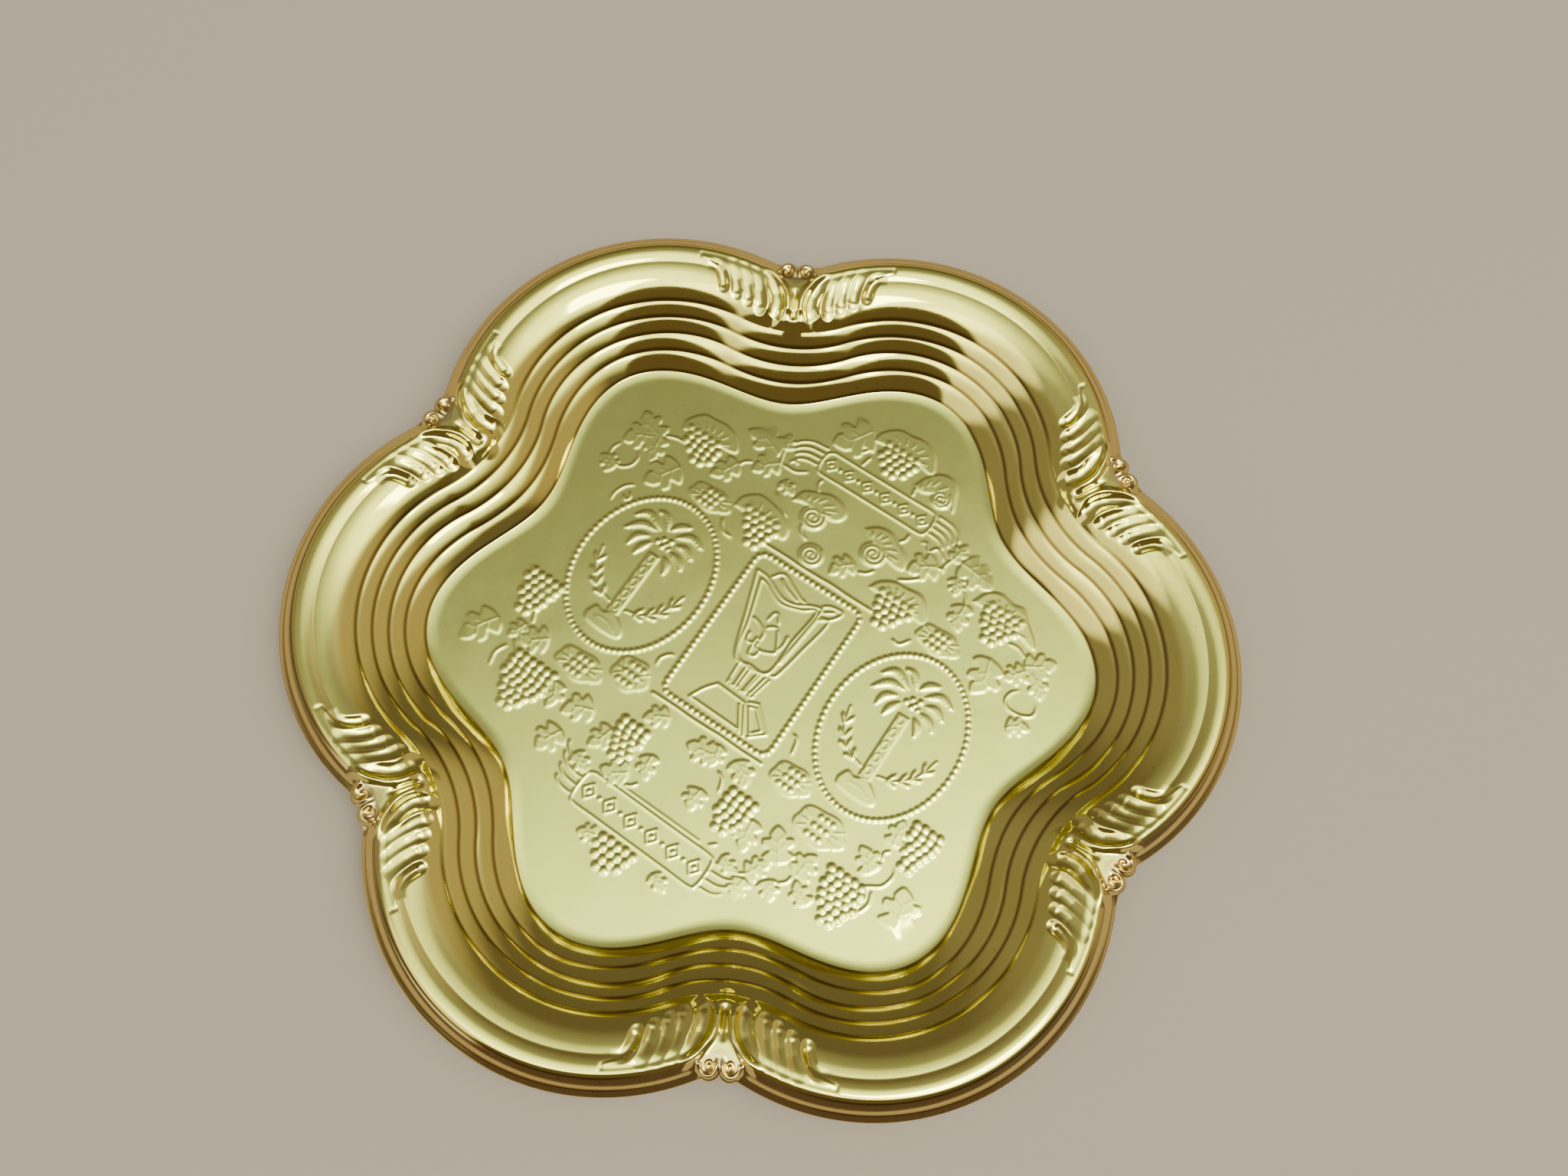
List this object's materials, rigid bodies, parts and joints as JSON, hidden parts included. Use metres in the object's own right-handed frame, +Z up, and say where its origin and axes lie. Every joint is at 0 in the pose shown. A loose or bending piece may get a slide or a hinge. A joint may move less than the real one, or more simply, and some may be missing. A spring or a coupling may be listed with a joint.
{
  "type": "serving plate",
  "caption": "Six-lobed pressed plate with an embossed flat floor, a ribbed wall and a rolled, beaded rim, used to hold or carry small things",
  "frame": {"origin": "Centre of the flat underside that the plate rests on.", "axes": "+Z up out of the dish; +Y through a lobe tip, the upright direction of the drawing on the floor; +X through a cusp."},
  "size_m": [0.1956, 0.21, 0.0163],
  "materials": {
    "gilt_floor": "mirror-bright gold-coloured plating on the embossed floor, with fine scratches",
    "gilt_wall": "mirror-bright gold-coloured plating on the ribbed wall",
    "gilt_rim": "mirror-bright gold-coloured plating on the rim and its ornaments",
    "gilt_edge": "bright gold-coloured plating, a little duller on the bead and the trimmed edge"
  },
  "bodies": {
    "root": {"floor_panel": "gilt_floor", "wall_rib_1": "gilt_wall", "wall_rib_2": "gilt_wall", "wall_rib_3": "gilt_wall", "wall_rib_4": "gilt_wall", "rim_lobe_1": "gilt_rim", "rim_lobe_2": "gilt_rim", "rim_lobe_3": "gilt_rim", "rim_lobe_4": "gilt_rim", "rim_lobe_5": "gilt_rim", "rim_lobe_6": "gilt_rim", "cusp_fan_1": "gilt_rim", "cusp_fan_2": "gilt_rim", "cusp_fan_3": "gilt_rim", "cusp_fan_4": "gilt_rim", "cusp_fan_5": "gilt_rim", "cusp_fan_6": "gilt_rim", "edge_bead": "gilt_edge", "edge_lip": "gilt_edge", "panel_beads": "gilt_floor", "panel_rods": "gilt_floor", "burner_relief": "gilt_floor", "medallion_beads_left": "gilt_floor", "medallion_beads_right": "gilt_floor", "palm_left": "gilt_floor", "palm_right": "gilt_floor", "cartouche_upper": "gilt_floor", "cartouche_lower": "gilt_floor", "grapes_upper": "gilt_floor", "grapes_lower": "gilt_floor", "leaves_upper": "gilt_floor", "leaves_lower": "gilt_floor", "rose_sprays": "gilt_floor"}
  },
  "joints": []
}
